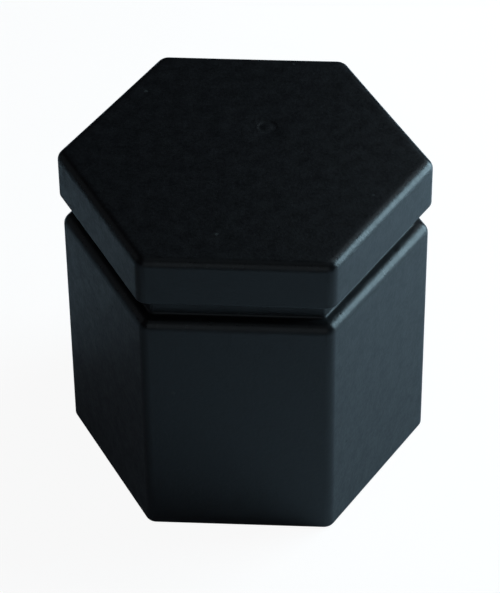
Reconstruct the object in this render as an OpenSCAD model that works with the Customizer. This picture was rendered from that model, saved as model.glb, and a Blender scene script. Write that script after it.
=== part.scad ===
// Push-on cover cap for a hexagonal wheel nut, moulded in one piece.
// It stands on its open rim at z = 0, with the closed head at the top.
// Two corners of the hexagon lie on the X axis, and two of its flats face along Y.

/* [Fit on the nut] */
// Width across flats of the nut that the cap covers
nut_af = 17; // [13:0.5:24]
// Gap between each flat of the nut and the socket's wall
nut_clearance = 0.15; // [0.05:0.05:0.3]
// Depth that the nut goes in, from the rim to the stop ledge
nut_depth = 15.4; // [8:0.2:24]
// Height of the sloped lead-in round the socket's mouth
mouth_lead_in = 0.4; // [0.1:0.05:0.7]
// Taper of the socket, taken off each flat at its deep end
socket_draft = 0.05; // [0:0.01:0.1]
// Rounding of the socket's upright corners
socket_corner_r = 0.45; // [0.1:0.05:1]

/* [Grip ribs] */
// Radius of the round bead down the middle of each flat of the socket
rib_r = 0.45; // [0.3:0.05:0.5]
// Squeeze of each bead on the nut
rib_squeeze = 0.1; // [0.05:0.01:0.2]
// Height of the beads' lower ends above the rim
rib_start = 1.6; // [0.8:0.1:4]
// Length of the cone that leads the nut on to each bead
rib_lead_in = 2.4; // [0.5:0.1:4]

/* [Body] */
// Thickness of the body's wall between the socket and the outer flats
body_wall = 1.2; // [1:0.05:2.5]
// Thickness of the ledge that the nut's end stops against
stop_wall = 1.6; // [0.8:0.1:3]
// Rounding of the body's upright outer corners
body_corner_r = 0.75; // [0.75:0.05:1.5]
// Rounding of the body's upper edge, below the groove
shoulder_round = 0.7; // [0.1:0.05:0.7]
// Rounding of the outer edge of the rim
foot_round = 0.25; // [0.05:0.05:0.3]

/* [Tool groove] */
// Height of the groove that a pulling tool hooks into
groove_h = 1.6; // [1:0.1:4]
// Depth of the groove below the body's flats
groove_depth = 0.9; // [0.75:0.05:1.2]
// Rounding of the groove's upright corners
neck_corner_r = 0.3; // [0.1:0.05:0.8]
// Thickness of the wall behind the groove
neck_wall = 1.2; // [0.8:0.05:2.5]

/* [Head] */
// Overhang of the head past the body's flats
head_overhang = 0.15; // [0:0.05:1]
// Height of the head above the groove
head_h = 3.4; // [2.4:0.1:8]
// Thickness of the roof under the head's flat top
roof_wall = 1.8; // [0.8:0.1:3]
// Rounding of the head's upright corners
head_corner_r = 0.85; // [0.65:0.05:1.5]
// Rounding of the edge round the flat top
head_round = 0.6; // [0.1:0.05:0.8]
// Rounding of the head's lower edge, above the groove
head_lip_round = 0.2; // [0.05:0.05:0.4]
// Rounding of the upright corners of the hollow inside the head
hollow_corner_r = 0.9; // [0.2:0.1:2]

/* [Hidden] */
// Facets in each upright corner and in each rounded edge
CORNER_STEPS = 6;
EDGE_STEPS = 5;
// Overlap of shapes that are joined, and overshoot of cuts past the surface
MELT = 0.3;
BEAD_FN = 32;

// Widths across flats
socket_af = nut_af + 2 * nut_clearance;
body_af = socket_af + 2 * body_wall;
neck_af = body_af - 2 * groove_depth;
head_af = body_af + 2 * head_overhang;
hollow_af = neck_af - 2 * neck_wall;

// Heights above the rim
body_top = nut_depth + stop_wall;
head_base = body_top + groove_h;
cap_top = head_base + head_h;
hollow_top = cap_top - roof_wall;

// One ring of a hexagon with rounded corners: its width across flats, corner radius and height
function hex_ring(af, r, z) = [
    for (corner = [0 : 5], step = [0 : CORNER_STEPS])
        let (centre = (af / 2 - r) / cos(30), turn = 60 * (corner + step / CORNER_STEPS) - 30)
        [centre * cos(60 * corner) + r * cos(turn), centre * sin(60 * corner) + r * sin(turn), z]
];

// Sections [width across flats, corner radius, height] that round an upper or a lower edge
function rounded_top(af, r, z, edge) = [
    for (step = [0 : EDGE_STEPS])
        let (turn = 90 * step / EDGE_STEPS, inset = edge * (1 - cos(turn)))
        [af - 2 * inset, r - inset, z - edge * (1 - sin(turn))]
];
function rounded_base(af, r, z, edge) = [
    for (step = [EDGE_STEPS : -1 : 0])
        let (turn = 90 * step / EDGE_STEPS, inset = edge * (1 - cos(turn)))
        [af - 2 * inset, r - inset, z + edge * (1 - sin(turn))]
];

// Solid that runs through a list of such sections, from the lowest to the highest
module hex_loft(sections) {
    per_ring = 6 * (CORNER_STEPS + 1);
    last = (len(sections) - 1) * per_ring;
    polyhedron(
        points = [for (s = sections) each hex_ring(s[0], s[1], s[2])],
        faces = concat(
            [[for (i = [0 : per_ring - 1]) i]],
            [for (ring = [0 : len(sections) - 2], i = [0 : per_ring - 1])
                let (a = ring * per_ring, j = (i + 1) % per_ring)
                [a + i, a + per_ring + i, a + per_ring + j, a + j]],
            [[for (i = [per_ring - 1 : -1 : 0]) last + i]]
        )
    );
}

// Outer skin: foot, plain body, tool groove and head
module skin() {
    hex_loft(concat(
        rounded_base(body_af, body_corner_r, 0, foot_round),
        rounded_top(body_af, body_corner_r, body_top, shoulder_round),
        [[neck_af, neck_corner_r, body_top], [neck_af, neck_corner_r, head_base]],
        rounded_base(head_af, head_corner_r, head_base, head_lip_round),
        rounded_top(head_af, head_corner_r, cap_top, head_round)
    ));
}

// Space inside: the mouth's lead-in, the tapered socket, and the hollow above the stop ledge
module inside() {
    mouth_af = socket_af + 2 * mouth_lead_in;
    hex_loft([
        [mouth_af + 2 * MELT, socket_corner_r + mouth_lead_in + MELT, -MELT],
        [socket_af, socket_corner_r, mouth_lead_in],
        [socket_af - 2 * socket_draft, socket_corner_r, nut_depth],
        [hollow_af, hollow_corner_r, nut_depth],
        [hollow_af, hollow_corner_r, hollow_top]
    ]);
}

// Round bead on the middle of each flat, which grips the nut
module grip_ribs() {
    proud = nut_clearance + rib_squeeze;
    for (flat = [0 : 5])
        rotate(60 * flat + 30)
            translate([socket_af / 2 + rib_r - proud, 0, rib_start]) {
                cylinder(r1 = rib_r - proud, r2 = rib_r, h = rib_lead_in, $fn = BEAD_FN);
                translate([0, 0, rib_lead_in])
                    cylinder(r = rib_r, h = nut_depth - rib_start - rib_lead_in + MELT, $fn = BEAD_FN);
            }
}

module nut_cap() {
    color([0.10, 0.12, 0.13]) {
        difference() {
            skin();
            inside();
        }
        grip_ribs();
    }
}

nut_cap();
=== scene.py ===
"""Wheel nut cover cap: its moulded plastic skin, a plain pale stage, and the photograph's view of it.

The cap is one moulding, so it is one closed mesh: a row of levels that starts at the gate mark on the
flat top, runs down the outside to the rim, and climbs the inside to the hollow's roof. Each sub-assembly
gives its own stretch of that row. Sizes are in millimetres, as on the part's drawing, and become metres
only where a mesh, a lamp or the camera is made.
"""

import logging
import math
from dataclasses import dataclass
from enum import Enum
from typing import Sequence

import bmesh
import bpy
from mathutils import Matrix, Vector


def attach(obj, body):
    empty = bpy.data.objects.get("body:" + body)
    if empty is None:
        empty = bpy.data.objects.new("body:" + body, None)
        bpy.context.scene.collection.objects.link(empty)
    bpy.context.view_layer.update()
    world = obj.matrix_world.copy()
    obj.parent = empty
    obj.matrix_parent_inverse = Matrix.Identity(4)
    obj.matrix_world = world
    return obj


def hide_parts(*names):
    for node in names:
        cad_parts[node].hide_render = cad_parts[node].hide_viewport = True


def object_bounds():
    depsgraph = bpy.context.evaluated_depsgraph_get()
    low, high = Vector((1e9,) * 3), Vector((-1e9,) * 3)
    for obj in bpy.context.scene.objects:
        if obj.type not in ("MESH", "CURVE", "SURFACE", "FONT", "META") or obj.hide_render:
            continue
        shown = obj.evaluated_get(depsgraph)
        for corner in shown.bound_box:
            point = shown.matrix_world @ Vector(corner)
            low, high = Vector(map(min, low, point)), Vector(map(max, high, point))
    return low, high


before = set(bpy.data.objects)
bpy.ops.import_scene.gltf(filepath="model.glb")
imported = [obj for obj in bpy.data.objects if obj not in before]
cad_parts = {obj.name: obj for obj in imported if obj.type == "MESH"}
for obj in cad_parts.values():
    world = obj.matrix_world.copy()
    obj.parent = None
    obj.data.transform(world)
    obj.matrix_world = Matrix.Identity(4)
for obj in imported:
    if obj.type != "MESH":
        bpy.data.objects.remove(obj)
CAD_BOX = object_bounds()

log = logging.getLogger("nut_cap")

MM = 0.001
NODE = "nut_cap"

# Every level has this many corners, facets in each of them, and points on each flat between two of them
SIDES = 6
CORNER_STEPS = 8
FLAT_POINTS = 15
# Facets in each rounded edge
EDGE_STEPS = 7
# Width of the wall on each side of a grip bead that the bead's points also cover
BEAD_MARGIN = 0.04

# Each point of the mesh keeps under this name how much of a rounded edge it lies on
EDGE_ATTRIBUTE = "rounding"
# Edges that turn by more than this many degrees stay sharp
SHARP_ANGLE = 40.0
# How strongly the large faces rule the shading of the small ones beside them
FACE_WEIGHT = 80

# Bearing of the front, which faces along -Y, in degrees anticlockwise from +X
FRONT = -90

# Places of the factor, the two colours and the mixed colour among a Mix node's sockets
MIX_SHARE = 0
MIX_COLOURS = (6, 7)
MIX_RESULT = 2

Colour = tuple[float, float, float]
NumberInput = bpy.types.NodeSocket | float
ColourInput = bpy.types.NodeSocket | Colour


class Skin(Enum):
    """Which finish of the mould a band of the cap has; the value is its material slot on the mesh."""

    TEXTURED = 0
    POLISHED = 1


class Spread(Enum):
    """How the points of a section are spread along each flat."""

    EVEN = "evenly, over the whole flat"
    BEAD = "closely, over the grip bead at its middle"


@dataclass(frozen=True)
class Section:
    """One level of the cap: a hexagon with rounded corners, its corners along X.

    across is its width across flats, corner the radius of its corners, height its height above the rim,
    and bow how far the middle of each flat sinks. rounding says, from 0 to 1, how much of a rounded edge
    this level lies on. skin is the finish of the band from this section to the next. bead_radius is that
    of the grip bead on each flat, and bead_axis how far the bead's own axis is from the cap's.
    """

    across: float
    corner: float
    height: float
    bow: float = 0.0
    rounding: float = 0.0
    skin: Skin = Skin.TEXTURED
    spread: Spread = Spread.EVEN
    bead_radius: float = 0.0
    bead_axis: float = 0.0

    def outline(self) -> list[Vector]:
        """Points round the section, in millimetres.

        Returns:
            SIDES times (CORNER_STEPS + 1 + FLAT_POINTS) points, anticlockwise from the corner on +X.
        """
        points = []
        centre = (self.across / 2 - self.corner) / math.cos(math.pi / SIDES)
        for side in range(SIDES):
            along = 2 * math.pi * side / SIDES
            for step in range(CORNER_STEPS + 1):
                turn = along + math.pi / SIDES * (2 * step / CORNER_STEPS - 1)
                x = centre * math.cos(along) + self.corner * math.cos(turn)
                y = centre * math.sin(along) + self.corner * math.sin(turn)
                points.append(Vector((x, y, self.height)))
            points.extend(self._flat_points(along + math.pi / SIDES, centre))
        return points

    def _flat_points(self, normal: float, centre: float) -> list[Vector]:
        """Points along one flat, between its two corners.

        Args:
            normal: direction that the flat faces, in radians.
            centre: distance of the corners' centres from the axis.

        Returns:
            FLAT_POINTS points, anticlockwise.
        """
        half = centre * math.sin(math.pi / SIDES)
        out = Vector((math.cos(normal), math.sin(normal), 0))
        side = Vector((-math.sin(normal), math.cos(normal), 0))
        points = []
        for i in range(FLAT_POINTS):
            share = 2 * (i + 1) / (FLAT_POINTS + 1) - 1
            if self.spread is Spread.EVEN:
                along = share * half
                distance = self.across / 2 - self.bow * (1 - share * share)
            else:
                along = share * self._bead_half_width()
                distance = self._bead_surface(along)
            points.append(out * distance + side * along + Vector((0, 0, self.height)))
        return points

    def _bead_half_width(self) -> float:
        """Half the width that the bead's points cover: the bead, where it has begun, and the margin."""
        sunk = self.bead_axis - self.across / 2
        return math.sqrt(max(self.bead_radius ** 2 - sunk ** 2, 0.0)) + BEAD_MARGIN

    def _bead_surface(self, along: float) -> float:
        """Where the wall or the bead is, at a place along the flat.

        Args:
            along: distance from the middle of the flat.

        Returns:
            Its distance from the cap's axis, square to the flat.
        """
        chord = self.bead_radius ** 2 - along ** 2
        if chord <= 0:
            return self.across / 2
        return min(self.across / 2, self.bead_axis - math.sqrt(chord))


# A rounded hexagon of any size, whose points give the directions of the points of a round level
GUIDE = Section(across=10.0, corner=1.0, height=0.0)


@dataclass(frozen=True)
class Disc:
    """A round level on a flat face of the cap, such as one edge of a gate or ejector mark."""

    radius: float
    height: float
    x: float = 0.0
    y: float = 0.0
    rounding: float = 0.0
    skin: Skin = Skin.TEXTURED

    def outline(self) -> list[Vector]:
        """Points round the disc, each in the same direction as its partner on a section."""
        centre = Vector((self.x, self.y, self.height))
        return [centre + self.radius * point.normalized() for point in GUIDE.outline()]


@dataclass(frozen=True)
class Between:
    """A level on a flat face part of the way from one level's outline to another's."""

    start: "Level"
    end: "Level"
    share: float
    skin: Skin = Skin.TEXTURED
    rounding: float = 0.0

    def outline(self) -> list[Vector]:
        """Points part of the way from each point of the first outline to its partner on the second."""
        pairs = zip(self.start.outline(), self.end.outline())
        return [a.lerp(b, self.share) for a, b in pairs]


Level = Section | Disc | Between


def spread_over(start: Level, end: Level, rings: int, skin: Skin) -> list[Level]:
    """Levels that fill the flat face between two outlines, which aren't repeated."""
    return [Between(start, end, (i + 1) / (rings + 1), skin) for i in range(rings)]


@dataclass(frozen=True)
class Rounding:
    """A rounded edge between the upright flats of the cap and a level face.

    across, corner and bow are those of the flats, and height is the level face's. wear says, from 0 to 1,
    how far the edge is open to rubbing.
    """

    across: float
    corner: float
    height: float
    radius: float
    bow: float = 0.0
    wear: float = 1.0
    skin: Skin = Skin.TEXTURED

    def _level(self, turn: float, way: int) -> Section:
        """The section where the rounding's surface has turned by an angle from the upright flats.

        Args:
            turn: 0 on the upright flats, a quarter turn on the level face.
            way: 1 for an upper edge, -1 for a lower one.

        Returns:
            The section.
        """
        inset = self.radius * (1 - math.cos(turn))
        drop = self.radius * (1 - math.sin(turn))
        return Section(
            across=self.across - 2 * inset,
            corner=self.corner - inset,
            height=self.height - way * drop,
            bow=self.bow,
            rounding=self.wear * math.sin(2 * turn),
            skin=self.skin,
        )

    def _turns(self) -> list[float]:
        """Angles from the upright flats to the level face."""
        return [math.pi / 2 * i / EDGE_STEPS for i in range(EDGE_STEPS + 1)]

    def from_top(self) -> list[Section]:
        """Sections of an upper edge, from the level face down to the flats."""
        return [self._level(turn, 1) for turn in reversed(self._turns())]

    def to_top(self) -> list[Section]:
        """Sections of an upper edge, from the flats up to the level face."""
        return [self._level(turn, 1) for turn in self._turns()]

    def to_base(self) -> list[Section]:
        """Sections of a lower edge, from the flats down to the level face."""
        return [self._level(turn, -1) for turn in self._turns()]


@dataclass(frozen=True)
class MarkRing:
    """One ring of the gate mark: its radius, how deep it lies, and how much of a rounded edge it is on."""

    radius: float
    depth: float
    rounding: float = 0.0


@dataclass(frozen=True)
class GateMark:
    """The faint round mark that the moulding gate leaves on the flat top, where the photograph shows it.

    It is a small nub in a shallow dish. nub holds its rings from the middle outwards, and dish those from
    the dish's floor to the flat top.
    """

    x: float = 1.25
    y: float = 2.85
    nub: tuple[MarkRing, ...] = (
        MarkRing(0.13, 0.012),
        MarkRing(0.221, 0.018, 0.4),
        MarkRing(0.26, 0.025, 0.2),
    )
    dish: tuple[MarkRing, ...] = (
        MarkRing(0.38, 0.035),
        MarkRing(0.50, 0.035),
        MarkRing(0.572, 0.023, 0.2),
        MarkRing(0.62, 0.008, 0.4),
        MarkRing(0.692, 0.0, 0.2),
    )

    def levels(self, top: float) -> list[Level]:
        """The mark's rings as levels, from its middle outwards; top is the height of the flat top."""
        rings = (*self.nub, *self.dish)
        return [Disc(ring.radius, top - ring.depth, self.x, self.y, ring.rounding) for ring in rings]


@dataclass(frozen=True)
class Head:
    """The closed head: flat top with the gate mark, rounded edge all round it, upright band, and lip.

    base and top are the heights of its underside and of its flat top. border is the width of an even
    strip of the top inside the rounded edge, and border_corner the corner radius of its inner line.
    """

    across: float
    base: float
    top: float
    corner: float = 0.85
    edge_round: float = 0.6
    lip_round: float = 0.2
    bow: float = 0.015
    border: float = 0.25
    border_corner: float = 0.1
    top_rings: int = 6
    gate: GateMark = GateMark()

    def levels(self) -> list[Level]:
        """The head's levels.

        Returns:
            Levels from the gate mark over the top's edge and down to the lip.
        """
        gate = self.gate.levels(self.top)
        edge = Rounding(self.across, self.corner, self.top, self.edge_round, self.bow).from_top()
        lip = Rounding(self.across, self.corner, self.base, self.lip_round, self.bow).to_base()
        inner = Section(edge[0].across - 2 * self.border, self.border_corner, self.top)
        face = spread_over(gate[-1], inner, self.top_rings, Skin.TEXTURED)
        return [*gate, *face, inner, *edge, *lip]


@dataclass(frozen=True)
class ToolGroove:
    """The undercut all round below the head, where a pulling tool hooks in.

    base and top are the heights of its floor and its ceiling. root is the radius of the fillet at each,
    small enough to leave a narrow ledge before the shoulder's rounding. fillet_turns says at which shares
    of its quarter turn a fillet has a level.
    """

    across: float
    base: float
    top: float
    corner: float = 0.3
    root: float = 0.15
    fillet_turns: tuple[float, ...] = (0.0, 0.08, 0.3, 0.62, 1.0)

    def levels(self) -> list[Level]:
        """The groove's levels.

        Returns:
            Levels from the groove's ceiling down to its floor.
        """
        ceiling = [self._root_level(self.top, -1, share) for share in reversed(self.fillet_turns)]
        floor = [self._root_level(self.base, 1, share) for share in self.fillet_turns]
        return [*ceiling, *floor]

    def _root_level(self, face: float, way: int, share: float) -> Section:
        """One section of the hollow fillet between the neck and a level face.

        Args:
            face: height of the level face.
            way: 1 where the neck is above the face, -1 where it is below.
            share: 0 where the fillet meets the neck, 1 where it meets the face.

        Returns:
            The section.
        """
        turn = math.pi / 2 * share
        out = self.root * (1 - math.cos(turn))
        away = self.root * (1 - math.sin(turn))
        return Section(self.across + 2 * out, self.corner + out, face + way * away)


@dataclass(frozen=True)
class Body:
    """The plain hexagonal body, from its rounded shoulder to the rounded outer edge of the rim.

    top is the height of the shoulder. bow is how far the middle of each flat sinks half way down, and
    bands how many levels carry that sink.
    """

    across: float
    top: float
    corner: float = 0.75
    shoulder_round: float = 0.7
    foot_round: float = 0.25
    bow: float = 0.02
    bands: int = 5

    def levels(self) -> list[Level]:
        """The levels of the body's outside.

        Returns:
            Levels from the shoulder down to the rim.
        """
        shoulder = Rounding(self.across, self.corner, self.top, self.shoulder_round).from_top()
        foot = Rounding(self.across, self.corner, 0.0, self.foot_round).to_base()
        high, low = shoulder[-1].height, foot[0].height
        middle = []
        for i in range(1, self.bands + 1):
            share = i / (self.bands + 1)
            height = high + (low - high) * share
            bow = self.bow * 4 * share * (1 - share)
            middle.append(Section(self.across, self.corner, height, bow))
        return [*shoulder, *middle, *foot]


@dataclass(frozen=True)
class NutSocket:
    """The hexagonal socket for the nut: lead-in, tapered walls, and a grip bead down each flat.

    bead_proud is how far each bead stands out of the wall, once its cone has grown to bead_radius.
    mouth_rounding says, from 0 to 1, how far the rim's inner edge is open to rubbing.
    """

    across: float
    depth: float
    bead_proud: float
    corner: float = 0.45
    lead_in: float = 0.4
    draft: float = 0.05
    bead_radius: float = 0.45
    bead_start: float = 1.6
    bead_lead_in: float = 2.4
    bead_steps: int = 6
    mouth_rounding: float = 0.8

    def levels(self) -> list[Level]:
        """The levels of the socket's walls.

        Returns:
            Levels from the rim's inner edge up to the stop ledge.
        """
        mouth = Section(
            self.across + 2 * self.lead_in,
            self.corner + self.lead_in,
            0.0,
            rounding=self.mouth_rounding,
            skin=Skin.POLISHED,
            spread=Spread.BEAD,
        )
        walls = [self._wall(self.lead_in), self._wall(self.bead_start)]
        for i in range(1, self.bead_steps + 1):
            walls.append(self._wall(self.bead_start + self.bead_lead_in * i / self.bead_steps))
        return [mouth, *walls, self._wall(self.depth / 2), self._wall(self.depth)]

    def _wall(self, height: float) -> Section:
        """The socket's section at a height, with as much of the bead as has grown there.

        Args:
            height: height above the rim.

        Returns:
            The section.
        """
        inset = self.draft * (height - self.lead_in) / (self.depth - self.lead_in)
        grown = min(max((height - self.bead_start) / self.bead_lead_in, 0.0), 1.0)
        return Section(
            self.across - 2 * inset,
            self.corner,
            height,
            skin=Skin.POLISHED,
            spread=Spread.BEAD,
            bead_radius=self.bead_radius - self.bead_proud * (1 - grown),
            bead_axis=self.across / 2 + self.bead_radius - self.bead_proud,
        )


@dataclass(frozen=True)
class HeadHollow:
    """The hollow above the stop ledge, with the round witness of an ejector pin on its roof.

    base and roof are the heights of the ledge and of the roof. The witness stands pin_proud out of the
    roof, and its edge slopes over a width of pin_slope. ledge_rounding says, from 0 to 1, how far the
    ledge's inner edge is open to rubbing.
    """

    across: float
    base: float
    roof: float
    corner: float = 0.9
    ledge_edge: float = 0.15
    ledge_rounding: float = 0.6
    roof_fillet: float = 0.4
    roof_rings: int = 3
    pin_radius: float = 2.5
    pin_slope: float = 0.03
    pin_proud: float = 0.08

    def levels(self) -> list[Level]:
        """The hollow's levels.

        Returns:
            Levels from the ledge's inner edge up to the roof and in to its middle.
        """
        skin = Skin.POLISHED
        edge = Section(
            self.across + 2 * self.ledge_edge,
            self.corner + self.ledge_edge,
            self.base,
            rounding=self.ledge_rounding,
            skin=skin,
        )
        wall = Section(self.across, self.corner, self.base + self.ledge_edge, skin=skin)
        fillet = Rounding(
            self.across, self.corner, self.roof, self.roof_fillet, wear=0.0, skin=skin
        ).to_top()
        pin_face = self.roof - self.pin_proud
        pin = [
            Disc(self.pin_radius, self.roof, skin=skin),
            Disc(self.pin_radius - self.pin_slope, pin_face, skin=skin),
            Disc(self.pin_radius / 2, pin_face, skin=skin),
        ]
        return [edge, wall, *fillet, *spread_over(fillet[-1], pin[0], self.roof_rings, skin), *pin]


class NodeSheet:
    """A node tree that is being drawn: adds nodes and joins their sockets."""

    def __init__(self, tree: bpy.types.NodeTree) -> None:
        """Takes the node tree of a material, a world or a group, and empties it."""
        self.tree = tree
        tree.nodes.clear()

    def add(self, kind: str, **settings: object) -> bpy.types.Node:
        """Adds a node.

        Args:
            kind: Blender's name of the node's type.
            settings: properties of the node, and default values of its inputs under their own names, with
                underscores for spaces.

        Returns:
            The new node.
        """
        node = self.tree.nodes.new(kind)
        for name, value in settings.items():
            if hasattr(node, name):
                setattr(node, name, value)
            else:
                node.inputs[name.replace("_", " ")].default_value = value
        return node

    def join(self, source: bpy.types.NodeSocket, target: bpy.types.NodeSocket) -> None:
        """Links an output to an input."""
        self.tree.links.new(source, target)

    def calculate(
        self, operation: str, first: NumberInput, second: NumberInput, third: NumberInput = 0.0
    ) -> bpy.types.NodeSocket:
        """Adds a Math node.

        Args:
            operation: Blender's name of the operation.
            first: a number, or its socket.
            second: a number, or its socket.
            third: a number, or its socket.

        Returns:
            The result's socket.
        """
        node = self.add("ShaderNodeMath", operation=operation)
        for place, value in enumerate((first, second, third)):
            if isinstance(value, bpy.types.NodeSocket):
                self.join(value, node.inputs[place])
            else:
                node.inputs[place].default_value = value
        return node.outputs["Value"]

    def ramp(self, value: bpy.types.NodeSocket, start: float, end: float) -> bpy.types.NodeSocket:
        """Adds a Map Range node that rises from 0 to 1 and stays within them.

        Args:
            value: the number to map.
            start: the number that becomes 0.
            end: the number that becomes 1, which may be the lower one.

        Returns:
            The result's socket.
        """
        node = self.add("ShaderNodeMapRange", From_Min=start, From_Max=end)
        self.join(value, node.inputs["Value"])
        return node.outputs["Result"]

    def mix_colours(
        self, share: bpy.types.NodeSocket, first: ColourInput, second: ColourInput
    ) -> bpy.types.NodeSocket:
        """Adds a Mix node for colours.

        Args:
            share: how much of the second colour.
            first: a colour, or its socket.
            second: a colour, or its socket.

        Returns:
            The mixed colour's socket.
        """
        node = self.add("ShaderNodeMix", data_type="RGBA")
        self.join(share, node.inputs[MIX_SHARE])
        for place, value in zip(MIX_COLOURS, (first, second)):
            if isinstance(value, bpy.types.NodeSocket):
                self.join(value, node.inputs[place])
            else:
                node.inputs[place].default_value = (*value, 1.0)
        return node.outputs[MIX_RESULT]

    def mix_shaders(
        self, share: bpy.types.NodeSocket, first: bpy.types.NodeSocket, second: bpy.types.NodeSocket
    ) -> bpy.types.NodeSocket:
        """Adds a Mix Shader node.

        Args:
            share: how much of the second shader.
            first: a shader's socket.
            second: a shader's socket.

        Returns:
            The mixed shader's socket.
        """
        node = self.add("ShaderNodeMixShader")
        for place, source in enumerate((share, first, second)):
            self.join(source, node.inputs[place])
        return node.outputs["Shader"]


@dataclass(frozen=True)
class NoiseLayer:
    """Noise that an effect uses.

    size is that of its blobs, in millimetres or as a multiple of another size. detail is how many octaves
    of finer noise it has, and rough the share that each finer octave keeps.
    """

    size: float
    detail: float
    rough: float

    def draw(
        self, sheet: NodeSheet, place: bpy.types.NodeSocket, unit: NumberInput = 1.0
    ) -> bpy.types.NodeSocket:
        """Adds the noise to a node sheet.

        Args:
            sheet: node sheet to draw on.
            place: places on the surface, in metres.
            unit: millimetres that the blobs' size is a multiple of.

        Returns:
            The noise's value, about 0 to 1.
        """
        size = sheet.calculate("MULTIPLY", unit, self.size)
        node = sheet.add("ShaderNodeTexNoise", Detail=self.detail, Roughness=self.rough)
        sheet.join(place, node.inputs["Vector"])
        sheet.join(sheet.calculate("DIVIDE", 1 / MM, size), node.inputs["Scale"])
        return node.outputs["Fac"]


class EffectGroup:
    """A shader node group with named inputs and outputs, built once and placed in several materials."""

    def __init__(self, name: str, inputs: dict[str, float], outputs: Sequence[str]) -> None:
        """Makes the group and its sockets, with one for places on the surface before the others.

        Args:
            name: the group's name.
            inputs: the default value of each numeric input, by name.
            outputs: names of the numeric outputs.
        """
        self.tree = bpy.data.node_groups.new(name, "ShaderNodeTree")
        self.sheet = NodeSheet(self.tree)
        sockets = self.tree.interface
        sockets.new_socket(name="Place", in_out="INPUT", socket_type="NodeSocketVector")
        for label, value in inputs.items():
            socket = sockets.new_socket(name=label, in_out="INPUT", socket_type="NodeSocketFloat")
            socket.default_value = value
        for label in outputs:
            sockets.new_socket(name=label, in_out="OUTPUT", socket_type="NodeSocketFloat")
        self.given = self.sheet.add("NodeGroupInput").outputs
        self.result = self.sheet.add("NodeGroupOutput").inputs

    def place(self, sheet: NodeSheet, coordinates: bpy.types.NodeSocket, **values: float) -> bpy.types.Node:
        """Puts the group into a material.

        Args:
            sheet: the material's node sheet.
            coordinates: places on the surface, in metres.
            values: the group's other inputs.

        Returns:
            The group node.
        """
        node = sheet.add("ShaderNodeGroup", node_tree=self.tree)
        sheet.join(coordinates, node.inputs["Place"])
        for label, value in values.items():
            node.inputs[label].default_value = value
        return node


@dataclass(frozen=True)
class MouldGrain:
    """The fine eroded grain of the mould: a height for Bump, and a speckle that varies shine and colour.

    The sizes of the fine and coarse layers are multiples of the grain's own, and the wave's is in
    millimetres. coarse_height is the coarse layer's part in the height, where the fine one's is 1, and
    coarse_speckle its part in the speckle, which rises from 0 to 1 between speckle_low and speckle_high.
    """

    fine: NoiseLayer = NoiseLayer(size=1.0, detail=2.0, rough=0.6)
    coarse: NoiseLayer = NoiseLayer(size=3.7, detail=2.0, rough=0.5)
    wave: NoiseLayer = NoiseLayer(size=9.0, detail=1.0, rough=0.4)
    coarse_height: float = 0.6
    coarse_speckle: float = 0.5
    speckle_low: float = 0.36
    speckle_high: float = 0.66

    def build(self) -> EffectGroup:
        """Builds the node group.

        Returns:
            The group, with the inputs Grain and Waviness and the outputs Height and Speckle.
        """
        group = EffectGroup("mould_grain", {"Grain": 0.2, "Waviness": 0.2}, ("Height", "Speckle"))
        sheet, given = group.sheet, group.given
        fine = self.fine.draw(sheet, given["Place"], given["Grain"])
        coarse = self.coarse.draw(sheet, given["Place"], given["Grain"])
        wave = self.wave.draw(sheet, given["Place"])
        grain = sheet.calculate("MULTIPLY_ADD", coarse, self.coarse_height, fine)
        height = sheet.calculate("MULTIPLY_ADD", wave, given["Waviness"], grain)
        sheet.join(height, group.result["Height"])
        fine_part = sheet.calculate("MULTIPLY", fine, 1 - self.coarse_speckle)
        mixed = sheet.calculate("MULTIPLY_ADD", coarse, self.coarse_speckle, fine_part)
        speckle = sheet.ramp(mixed, self.speckle_low, self.speckle_high)
        sheet.join(speckle, group.result["Speckle"])
        return group


@dataclass(frozen=True)
class EdgeRub:
    """Rubbing on rounded edges: a mask that breaks up along them.

    patches is the noise that breaks it up, and middle the value that this noise swings about. The mask
    rises from 0 to 1 between a rounding of low and one of high.
    """

    patches: NoiseLayer = NoiseLayer(size=1.6, detail=3.0, rough=0.6)
    middle: float = 0.5
    low: float = 0.25
    high: float = 0.85

    def build(self) -> EffectGroup:
        """Builds the node group.

        Returns:
            The group, with the inputs Rounding and Patchiness and the output Mask.
        """
        group = EffectGroup("edge_rub", {"Rounding": 0.0, "Patchiness": 0.5}, ("Mask",))
        sheet, given = group.sheet, group.given
        patches = self.patches.draw(sheet, given["Place"])
        uneven = sheet.calculate("SUBTRACT", patches, self.middle)
        broken = sheet.calculate("MULTIPLY", uneven, given["Patchiness"])
        total = sheet.calculate("ADD", given["Rounding"], broken)
        sheet.join(sheet.ramp(total, self.low, self.high), group.result["Mask"])
        return group


@dataclass(frozen=True)
class Dust:
    """Specks of dust: a mask of small round dots in some of the cells of a loose grid.

    edge and core are the distances from a dot's middle, as shares of a cell, where its mask starts and
    where it is full.
    """

    edge: float = 0.11
    core: float = 0.05

    def build(self) -> EffectGroup:
        """Builds the node group.

        Returns:
            The group, with the inputs Cell, in millimetres, and Amount and the output Mask.
        """
        group = EffectGroup("dust", {"Cell": 1.2, "Amount": 0.3}, ("Mask",))
        sheet, given = group.sheet, group.given
        cells = sheet.add("ShaderNodeTexVoronoi")
        sheet.join(given["Place"], cells.inputs["Vector"])
        sheet.join(sheet.calculate("DIVIDE", 1 / MM, given["Cell"]), cells.inputs["Scale"])
        dot = sheet.ramp(cells.outputs["Distance"], self.edge, self.core)
        split = sheet.add("ShaderNodeSeparateColor")
        sheet.join(cells.outputs["Color"], split.inputs["Color"])
        kept = sheet.calculate("LESS_THAN", split.outputs["Red"], given["Amount"])
        sheet.join(sheet.calculate("MULTIPLY", dot, kept), group.result["Mask"])
        return group


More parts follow.
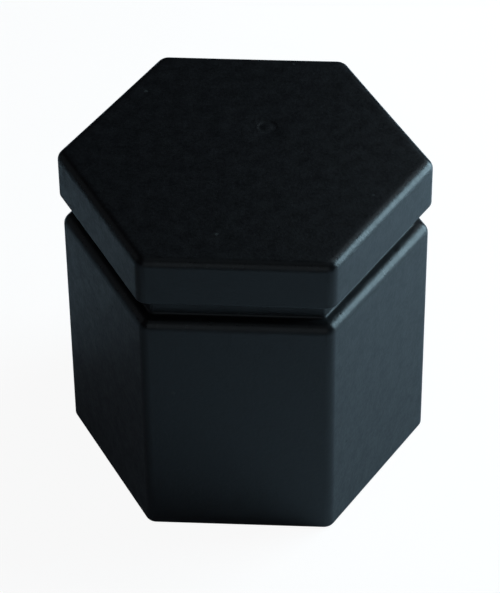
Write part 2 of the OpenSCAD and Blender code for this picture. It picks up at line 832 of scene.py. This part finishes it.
@dataclass(frozen=True)
class Effects:
    """The effects that the finishes share."""

    grain: EffectGroup
    rub: EffectGroup
    dust: EffectGroup

    @classmethod
    def build(cls) -> "Effects":
        """Builds each node group once."""
        return cls(MouldGrain().build(), EdgeRub().build(), Dust().build())


@dataclass(frozen=True)
class PlacedEffects:
    """The nodes of the effects in one material."""

    grain: bpy.types.Node
    rub: bpy.types.Node
    dust: bpy.types.Node


@dataclass(frozen=True)
class PlasticFinish:
    """A moulded black plastic surface.

    colour and pale are the plastic's darkest and palest spots, and shine and dull the roughness of the
    smoothest and the dullest. rubbed is added to the roughness on rubbed edges, and patchiness says how
    unevenly they are rubbed. grain is the size of the mould's texture in millimetres, grain_depth its
    height, and waviness how much of that height is in wide waves. dust_amount is the share of cells of
    dust_cell millimetres that hold a speck of dust_colour. A speck covers the colour by dust_cover and
    adds dust_dullness to the roughness.
    """

    name: str
    colour: Colour
    pale: Colour
    shine: float
    dull: float
    rubbed: float
    grain: float
    grain_depth: float
    waviness: float
    dust_amount: float
    patchiness: float = 0.5
    dust_cell: float = 1.3
    dust_colour: Colour = (0.16, 0.16, 0.15)
    dust_cover: float = 0.18
    dust_dullness: float = 0.3
    refraction: float = 1.5

    def material(self, effects: Effects) -> bpy.types.Material:
        """Builds the material.

        Args:
            effects: the shared node groups.

        Returns:
            The material, ready to be put in a slot.
        """
        made = bpy.data.materials.new(self.name)
        made.use_nodes = True
        sheet = NodeSheet(made.node_tree)
        placed = self._place(sheet, effects)
        shader = sheet.add("ShaderNodeBsdfPrincipled", IOR=self.refraction)
        sheet.join(self._colour(sheet, placed), shader.inputs["Base Color"])
        sheet.join(self._roughness(sheet, placed), shader.inputs["Roughness"])
        bump = sheet.add("ShaderNodeBump", Strength=1.0, Distance=self.grain_depth * MM)
        sheet.join(placed.grain.outputs["Height"], bump.inputs["Height"])
        sheet.join(bump.outputs["Normal"], shader.inputs["Normal"])
        end = sheet.add("ShaderNodeOutputMaterial")
        sheet.join(shader.outputs["BSDF"], end.inputs["Surface"])
        return made

    def _place(self, sheet: NodeSheet, effects: Effects) -> PlacedEffects:
        """Puts the shared effects into the material, with this finish's values.

        Args:
            sheet: the material's node sheet.
            effects: the shared node groups.

        Returns:
            The effects' nodes.
        """
        place = sheet.add("ShaderNodeTexCoord").outputs["Object"]
        grain = effects.grain.place(sheet, place, Grain=self.grain, Waviness=self.waviness)
        rub = effects.rub.place(sheet, place, Patchiness=self.patchiness)
        edges = sheet.add("ShaderNodeAttribute", attribute_name=EDGE_ATTRIBUTE)
        sheet.join(edges.outputs["Fac"], rub.inputs["Rounding"])
        specks = effects.dust.place(sheet, place, Cell=self.dust_cell, Amount=self.dust_amount)
        return PlacedEffects(grain, rub, specks)

    def _colour(self, sheet: NodeSheet, placed: PlacedEffects) -> bpy.types.NodeSocket:
        """Draws the base colour: the plastic, paler in its grain, with dust on it.

        Args:
            sheet: the material's node sheet.
            placed: the effects' nodes.

        Returns:
            The colour's socket.
        """
        body = sheet.mix_colours(placed.grain.outputs["Speckle"], self.colour, self.pale)
        dusty = sheet.calculate("MULTIPLY", placed.dust.outputs["Mask"], self.dust_cover)
        return sheet.mix_colours(dusty, body, self.dust_colour)

    def _roughness(self, sheet: NodeSheet, placed: PlacedEffects) -> bpy.types.NodeSocket:
        """Draws the roughness: it varies with the grain, is less on rubbed edges and more under dust.

        Args:
            sheet: the material's node sheet.
            placed: the effects' nodes.

        Returns:
            The roughness's socket.
        """
        span = self.dull - self.shine
        base = sheet.calculate("MULTIPLY_ADD", placed.grain.outputs["Speckle"], span, self.shine)
        worn = sheet.calculate("MULTIPLY_ADD", placed.rub.outputs["Mask"], self.rubbed, base)
        return sheet.calculate("MULTIPLY_ADD", placed.dust.outputs["Mask"], self.dust_dullness, worn)


FINISHES: dict[Skin, PlasticFinish] = {
    Skin.TEXTURED: PlasticFinish(
        name="black_plastic_textured",
        colour=(0.0060, 0.0056, 0.0062),
        pale=(0.0108, 0.0100, 0.0110),
        shine=0.36,
        dull=0.50,
        rubbed=-0.10,
        grain=0.22,
        grain_depth=0.010,
        waviness=0.8,
        dust_amount=0.10,
    ),
    Skin.POLISHED: PlasticFinish(
        name="black_plastic_polished",
        colour=(0.0080, 0.0090, 0.0105),
        pale=(0.0110, 0.0125, 0.0145),
        shine=0.24,
        dull=0.32,
        rubbed=-0.04,
        grain=0.5,
        grain_depth=0.004,
        waviness=1.0,
        dust_amount=0.05,
    ),
}


@dataclass(frozen=True)
class NutCap:
    """The whole cap: its sub-assemblies from the top down, and the one mesh that they share.

    Its widths follow from the nut and the walls round it, and its heights from how deep the nut goes in.
    """

    nut_across: float = 17.0
    nut_clearance: float = 0.15
    nut_depth: float = 15.4
    bead_squeeze: float = 0.1
    body_wall: float = 1.2
    stop_wall: float = 1.6
    groove_height: float = 1.6
    groove_depth: float = 0.9
    neck_wall: float = 1.2
    head_overhang: float = 0.15
    head_height: float = 3.4
    roof_wall: float = 1.8

    def levels(self) -> list[Level]:
        """All the cap's levels.

        Returns:
            Levels from the gate mark down the outside and up the inside to the hollow's roof.
        """
        socket_across = self.nut_across + 2 * self.nut_clearance
        body_across = socket_across + 2 * self.body_wall
        neck_across = body_across - 2 * self.groove_depth
        head_across = body_across + 2 * self.head_overhang
        hollow_across = neck_across - 2 * self.neck_wall
        body_top = self.nut_depth + self.stop_wall
        head_base = body_top + self.groove_height
        top = head_base + self.head_height
        bead_proud = self.nut_clearance + self.bead_squeeze
        parts = (
            Head(head_across, head_base, top),
            ToolGroove(neck_across, body_top, head_base),
            Body(body_across, body_top),
            NutSocket(socket_across, self.nut_depth, bead_proud),
            HeadHollow(hollow_across, self.nut_depth, top - self.roof_wall),
        )
        levels = []
        for part in parts:
            stretch = part.levels()
            log.info("%s: %d levels", type(part).__name__, len(stretch))
            levels.extend(stretch)
        return levels

    def build(self, effects: Effects) -> bpy.types.Object:
        """Builds the cap's mesh, dresses it and puts it in the place of the solid.

        Args:
            effects: the shared node groups.

        Returns:
            The cap's object.
        """
        mesh = self._mesh(self.levels())
        for skin in Skin:
            mesh.materials.append(FINISHES[skin].material(effects))
        piece = bpy.data.objects.new("nut_cap_skin", mesh)
        bpy.context.scene.collection.objects.link(piece)
        smooth = piece.modifiers.new("even_shading", "WEIGHTED_NORMAL")
        smooth.keep_sharp = True
        smooth.weight = FACE_WEIGHT
        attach(piece, "root")
        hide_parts(NODE)
        log.info("%s: %d faces", piece.name, len(mesh.polygons))
        return piece

    @staticmethod
    def _mesh(levels: Sequence[Level]) -> bpy.types.Mesh:
        """Joins the levels' outlines into one closed mesh.

        Args:
            levels: outlines in order, each with as many points.

        Returns:
            The mesh, in metres, with the amount of rounding stored on its points.
        """
        form = bmesh.new()
        rounding = form.verts.layers.float.new(EDGE_ATTRIBUTE)
        rings = []
        for level in levels:
            ring = [form.verts.new(point * MM) for point in level.outline()]
            for vert in ring:
                vert[rounding] = level.rounding
            rings.append(ring)
        for level, ring, following in zip(levels, rings, rings[1:]):
            for i, vert in enumerate(ring):
                j = (i + 1) % len(ring)
                face = form.faces.new((vert, following[i], following[j], ring[j]))
                face.material_index = level.skin.value
        for level, ring in ((levels[0], rings[0]), (levels[-1], rings[-1])):
            middle = form.verts.new(sum((v.co for v in ring), Vector()) / len(ring))
            for i, vert in enumerate(ring):
                face = form.faces.new((middle, vert, ring[(i + 1) % len(ring)]))
                face.material_index = level.skin.value
        bmesh.ops.recalc_face_normals(form, faces=form.faces)
        for face in form.faces:
            face.smooth = True
        mesh = bpy.data.meshes.new("nut_cap_skin")
        form.to_mesh(mesh)
        form.free()
        mesh.set_sharp_from_angle(angle=math.radians(SHARP_ANGLE))
        return mesh


def direction(bearing: float, rise: float) -> Vector:
    """Unit vector at a bearing from +X, anticlockwise, and a rise above the horizon, both in degrees."""
    turn, tilt = math.radians(bearing), math.radians(rise)
    return Vector((math.cos(turn) * math.cos(tilt), math.sin(turn) * math.cos(tilt), math.sin(tilt)))


@dataclass(frozen=True)
class SoftBox:
    """A square soft lamp that faces the cap.

    bearing is its direction from the cap in degrees, anticlockwise from +X, and rise its height above the
    horizon. distance and size are in millimetres. glow is its radiance, where 1 is white.
    """

    name: str
    bearing: float
    rise: float
    distance: float
    size: float
    glow: float
    colour: Colour

    def build(self, target: Vector) -> bpy.types.Object:
        """Makes the lamp.

        Args:
            target: place that it faces, in metres.

        Returns:
            The lamp's object.
        """
        lamp = bpy.data.lights.new(self.name, "AREA")
        lamp.shape = "SQUARE"
        lamp.size = self.size * MM
        lamp.color = self.colour
        lamp.energy = self.glow * math.pi * lamp.size ** 2
        way = direction(self.bearing, self.rise)
        placed = bpy.data.objects.new(self.name, lamp)
        placed.location = target + way * self.distance * MM
        placed.rotation_euler = way.to_track_quat("Z", "Y").to_euler()
        bpy.context.scene.collection.objects.link(placed)
        return placed


@dataclass(frozen=True)
class Stage:
    """A plain pale floor under a white background, and soft light that comes mostly from the right.

    floor_colour is the floor as the cap mirrors it. To the camera the floor is floor_shade, which takes
    the cap's shadow, plus a glow of floor_lift. ambient is the low light from all round.
    """

    floor_size: float = 3000.0
    floor_colour: Colour = (0.90, 0.94, 1.0)
    floor_shade: Colour = (0.16, 0.16, 0.16)
    floor_lift: float = 0.93
    ambient: Colour = (0.013, 0.013, 0.016)
    lamps: tuple[SoftBox, ...] = (
        SoftBox("window_right", bearing=23, rise=18, distance=106, size=77, glow=6.8,
                colour=(0.57, 0.85, 1.0)),
        SoftBox("fill_front", bearing=-88, rise=27, distance=300, size=250, glow=0.27,
                colour=(0.76, 0.91, 1.0)),
        SoftBox("fill_right_high", bearing=50, rise=46, distance=95, size=45, glow=0.70,
                colour=(0.80, 0.92, 1.0)),
        SoftBox("fill_overhead", bearing=-80, rise=80, distance=250, size=180, glow=0.12,
                colour=(0.75, 0.92, 1.0)),
        SoftBox("fill_left", bearing=165, rise=22, distance=300, size=200, glow=0.08,
                colour=(0.80, 0.92, 1.0)),
        SoftBox("socket_light", bearing=0, rise=-90, distance=10.9, size=12, glow=6.0,
                colour=(0.90, 0.95, 1.0)),
    )

    def build(self, target: Vector) -> None:
        """Makes the floor, the background and the lamps.

        Args:
            target: middle of the object, which the lamps face.
        """
        self._floor()
        self._background()
        for lamp in self.lamps:
            lamp.build(target)
            log.info("lamp %s", lamp.name)

    def _floor(self) -> None:
        """Makes a flat floor at the rim's height."""
        half = self.floor_size * MM / 2
        mesh = bpy.data.meshes.new("floor")
        corners = [(-half, -half, 0), (half, -half, 0), (half, half, 0), (-half, half, 0)]
        mesh.from_pydata(corners, [], [(0, 1, 2, 3)])
        mesh.materials.append(self._floor_material())
        floor = bpy.data.objects.new("floor", mesh)
        bpy.context.scene.collection.objects.link(floor)

    def _floor_material(self) -> bpy.types.Material:
        """Matt and pale; to the camera white outside the object's shadow, and clear from below.

        Returns:
            The material.
        """
        made = bpy.data.materials.new("pale_floor")
        made.use_nodes = True
        sheet = NodeSheet(made.node_tree)
        matt = sheet.add("ShaderNodeBsdfDiffuse", Color=(*self.floor_colour, 1.0))
        shade = sheet.add("ShaderNodeBsdfDiffuse", Color=(*self.floor_shade, 1.0))
        lift = sheet.add("ShaderNodeEmission", Strength=self.floor_lift)
        both = sheet.add("ShaderNodeAddShader")
        sheet.join(shade.outputs["BSDF"], both.inputs[0])
        sheet.join(lift.outputs["Emission"], both.inputs[1])
        to_camera = sheet.add("ShaderNodeLightPath").outputs["Is Camera Ray"]
        above = sheet.mix_shaders(to_camera, matt.outputs["BSDF"], both.outputs["Shader"])
        from_below = sheet.add("ShaderNodeNewGeometry").outputs["Backfacing"]
        clear = sheet.add("ShaderNodeBsdfTransparent").outputs["BSDF"]
        end = sheet.add("ShaderNodeOutputMaterial")
        sheet.join(sheet.mix_shaders(from_below, above, clear), end.inputs["Surface"])
        return made

    def _background(self) -> None:
        """Makes a world that is white to the camera, and a low even light to everything else."""
        world = bpy.data.worlds.new("studio")
        bpy.context.scene.world = world
        world.use_nodes = True
        sheet = NodeSheet(world.node_tree)
        white = sheet.add("ShaderNodeBackground", Color=(1.0, 1.0, 1.0, 1.0), Strength=1.0)
        low = sheet.add("ShaderNodeBackground", Color=(*self.ambient, 1.0), Strength=1.0)
        to_camera = sheet.add("ShaderNodeLightPath").outputs["Is Camera Ray"]
        mixed = sheet.mix_shaders(to_camera, low.outputs["Background"], white.outputs["Background"])
        end = sheet.add("ShaderNodeOutputWorld")
        sheet.join(mixed, end.inputs["Surface"])


@dataclass(frozen=True)
class PhotoCamera:
    """The photograph's view: a long lens from the front, well above the cap, held very slightly askew.

    bearing is how far the camera stands to the right of the front flat, rise its angle above the horizon,
    and roll its tilt, in degrees. The other sizes are in millimetres. The camera is distance away from a
    point at height aim on the cap's axis, and is then moved by shift to its own right. It sees from near
    to far.
    """

    bearing: float = 3.4
    rise: float = 41.73
    roll: float = -0.64
    distance: float = 201.4
    shift: float = 0.225
    aim: float = 10.577
    lens: float = 194.0
    near: float = 10.0
    far: float = 10000.0

    def build(self) -> bpy.types.Object:
        """Makes the camera and gives it to the scene.

        Returns:
            The camera's object.
        """
        back = direction(self.bearing + FRONT, self.rise)
        level = direction(self.bearing, 0)
        upright = back.cross(level)
        roll = math.radians(self.roll)
        right = math.cos(roll) * level + math.sin(roll) * upright
        up = math.cos(roll) * upright - math.sin(roll) * level
        optics = bpy.data.cameras.new("photo_camera")
        optics.lens = self.lens
        optics.clip_start = self.near * MM
        optics.clip_end = self.far * MM
        placed = bpy.data.objects.new("photo_camera", optics)
        place = Vector((0, 0, self.aim)) + back * self.distance + right * self.shift
        turn = Matrix((right, up, back)).transposed().to_4x4()
        placed.matrix_world = Matrix.Translation(place * MM) @ turn
        bpy.context.scene.collection.objects.link(placed)
        bpy.context.scene.camera = placed
        return placed


def main() -> None:
    """Builds the stage, the photograph's view and the cap."""
    logging.basicConfig(level=logging.INFO, format="%(name)s: %(message)s")
    bpy.context.scene.view_settings.view_transform = "Standard"
    low, high = CAD_BOX
    Stage().build((low + high) / 2)
    log.info("stage: floor, background and lamps")
    PhotoCamera().build()
    log.info("camera: the photograph's view")
    NutCap().build(Effects.build())


if __name__ == "__main__":
    main()
